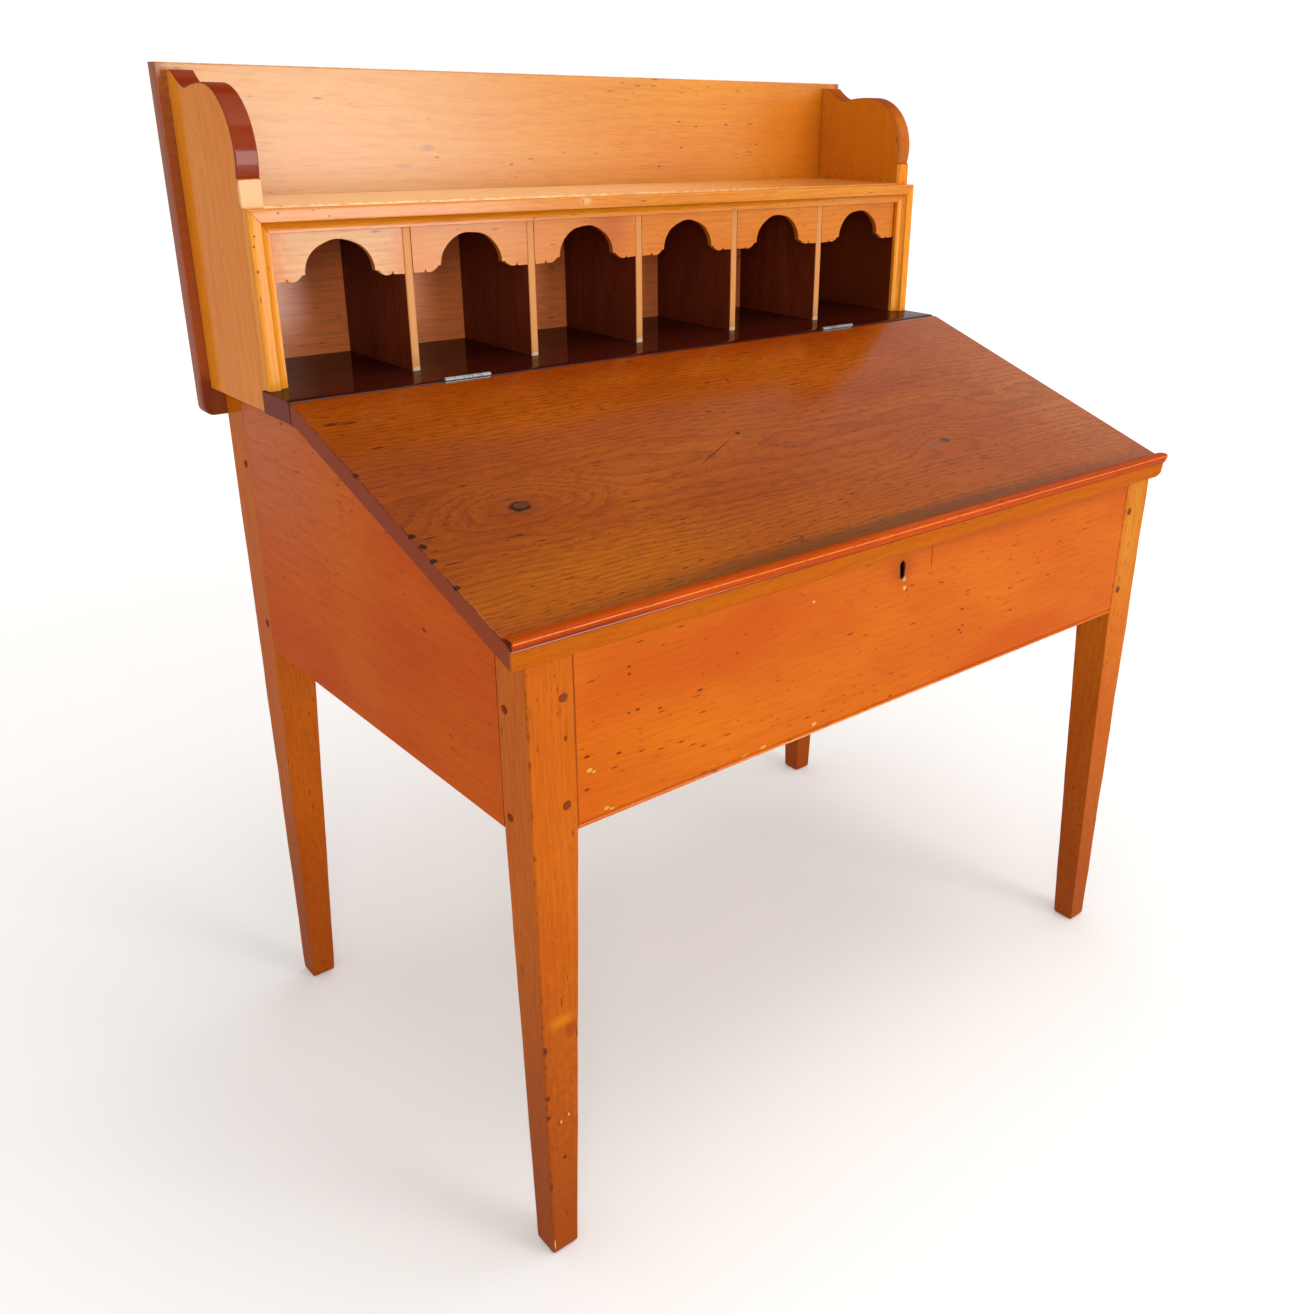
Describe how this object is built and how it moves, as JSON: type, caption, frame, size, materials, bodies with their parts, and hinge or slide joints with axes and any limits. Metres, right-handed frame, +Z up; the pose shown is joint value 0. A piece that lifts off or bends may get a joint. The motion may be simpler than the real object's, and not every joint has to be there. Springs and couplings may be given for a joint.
{
  "type": "plantation desk",
  "caption": "Slant-lid desk in old pine: pegged tapered legs, deep box under a hinged writing lid, and a pigeonhole gallery with scalloped valances between scrolled ends.",
  "frame": {"origin": "on the floor, under the middle of the desk's bounding box", "axes": "+X to the desk's right as seen from its front, +Y to its back, +Z up"},
  "size_m": [1.053, 0.6816, 1.2035],
  "materials": {
    "pine_amber": "old pine under amber varnish, rubbed to a gloss",
    "pine_side": "old pine under brown varnish",
    "pine_lid": "old pine under brown-amber varnish, polished by use",
    "pine_lip": "red-amber varnished moulding, glossy",
    "pine_deck": "dark red-brown varnish, glossy",
    "pine_inner": "dark varnished pine inside the pigeonholes",
    "pine_raw": "bare planed pine, aged",
    "peg_wood": "dark end grain of whittled pegs",
    "steel": "worn bright steel",
    "iron": "dark iron, lightly rusted"
  },
  "bodies": {
    "desk": {"leg_front_left": "pine_amber", "leg_front_right": "pine_amber", "leg_back_left": "pine_amber", "leg_back_right": "pine_amber", "front_apron": "pine_amber", "side_panel_left": "pine_side", "side_panel_right": "pine_side", "back_panel": "pine_side", "peg_front_left_low": "peg_wood", "peg_side_front_left_low": "peg_wood", "peg_front_left_high": "peg_wood", "peg_side_front_left_high": "peg_wood", "peg_back_left_low": "peg_wood", "peg_side_back_left_low": "peg_wood", "peg_back_left_high": "peg_wood", "peg_side_back_left_high": "peg_wood", "peg_front_right_low": "peg_wood", "peg_side_front_right_low": "peg_wood", "peg_front_right_high": "peg_wood", "peg_side_front_right_high": "peg_wood", "peg_back_right_low": "peg_wood", "peg_side_back_right_low": "peg_wood", "peg_back_right_high": "peg_wood", "peg_side_back_right_high": "peg_wood", "case_bottom": "pine_raw", "cleat_left": "pine_raw", "cleat_right": "pine_raw", "cleat_front": "pine_raw", "cleat_back": "pine_raw", "deck": "pine_deck", "hinge_left_deck_leaf": "steel", "hinge_left_pin": "steel", "hinge_right_deck_leaf": "steel", "hinge_right_pin": "steel", "lock_case": "iron", "gallery_side_left": "pine_amber", "gallery_side_right": "pine_amber", "gallery_shelf": "pine_amber", "gallery_back": "pine_amber", "moulding_left": "pine_amber", "moulding_right": "pine_amber", "moulding_top": "pine_amber", "divider_1": "pine_inner", "divider_2": "pine_inner", "divider_3": "pine_inner", "divider_4": "pine_inner", "divider_5": "pine_inner", "valance_1": "pine_amber", "valance_2": "pine_amber", "valance_3": "pine_amber", "valance_4": "pine_amber", "valance_5": "pine_amber", "valance_6": "pine_amber"},
    "lid": {"lid": "pine_lid", "lid_lip": "pine_lip", "lid_strike": "steel", "hinge_left_lid_leaf": "steel", "hinge_right_lid_leaf": "steel"},
    "lock_bolt": {"lock_bolt": "steel"}
  },
  "joints": [
    {"name": "lid_hinge", "type": "hinge", "parent": "desk", "child": "lid", "pos_m": [0, 0.08353, 0.877], "axis": [-1, 0, 0], "range_deg": [0, 124]},
    {"name": "bolt_slide", "type": "slide", "parent": "desk", "child": "lock_bolt", "axis": [0, 0, 1], "range_m": [0, 0.011]}
  ]
}
